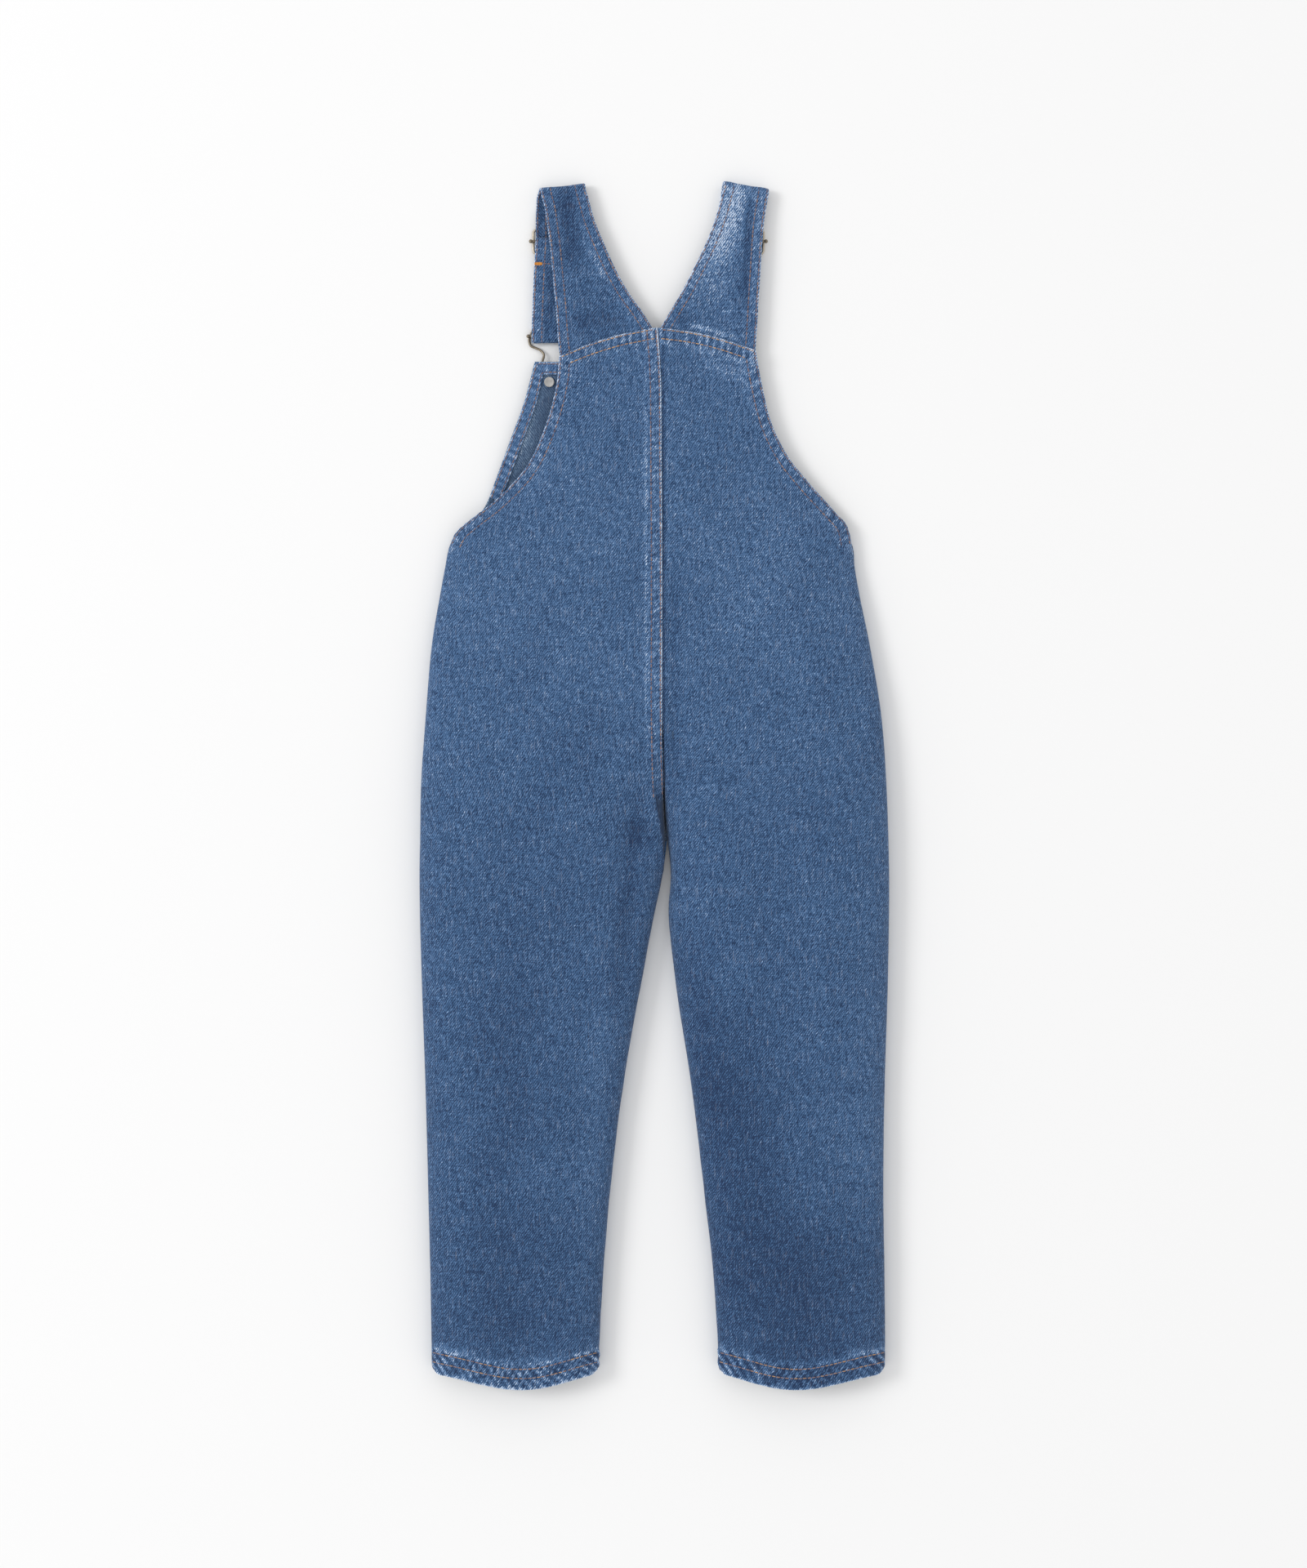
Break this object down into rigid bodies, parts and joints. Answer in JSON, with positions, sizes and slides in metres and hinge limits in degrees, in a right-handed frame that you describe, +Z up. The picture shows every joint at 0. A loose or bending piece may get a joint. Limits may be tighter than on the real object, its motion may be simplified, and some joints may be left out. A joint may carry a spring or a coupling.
{
  "type": "denim dungarees",
  "caption": "Child's denim dungarees laid face down and flat: a plain back with a centre seam, straight open legs, and tapering straps folded over to sliders and bib clips.",
  "frame": {"origin": "centre of the bounding box in plan, on the surface that the garment lies on", "axes": "+Z up from the surface, out of the garment's back; +Y from the hems towards the shoulder straps; +X to the right as seen from above"},
  "size_m": [0.316, 0.8126, 0.0284],
  "materials": {
    "denim": "mid-blue twill, slightly worn",
    "denim_inside": "paler wrong side of the denim",
    "nickel": "dull nickel-plated wire",
    "zinc": "dull grey metal"
  },
  "bodies": {
    "root": {"back_left_leg": "denim", "back_left_body": "denim", "back_right_leg": "denim", "back_right_body": "denim", "front_left_leg": "denim", "front_left_bib": "denim", "front_right_leg": "denim", "front_right_bib": "denim", "bib_facing": "denim_inside", "strap_left": "denim", "strap_right": "denim", "slider_frame_left": "nickel", "slider_bar_left": "nickel", "clip_wire_left": "nickel", "clip_bar_left": "nickel", "bib_button_left": "zinc", "bib_rivet_left": "zinc", "slider_frame_right": "nickel", "slider_bar_right": "nickel", "clip_wire_right": "nickel", "clip_bar_right": "nickel", "bib_button_right": "zinc", "bib_rivet_right": "zinc"}
  },
  "joints": []
}
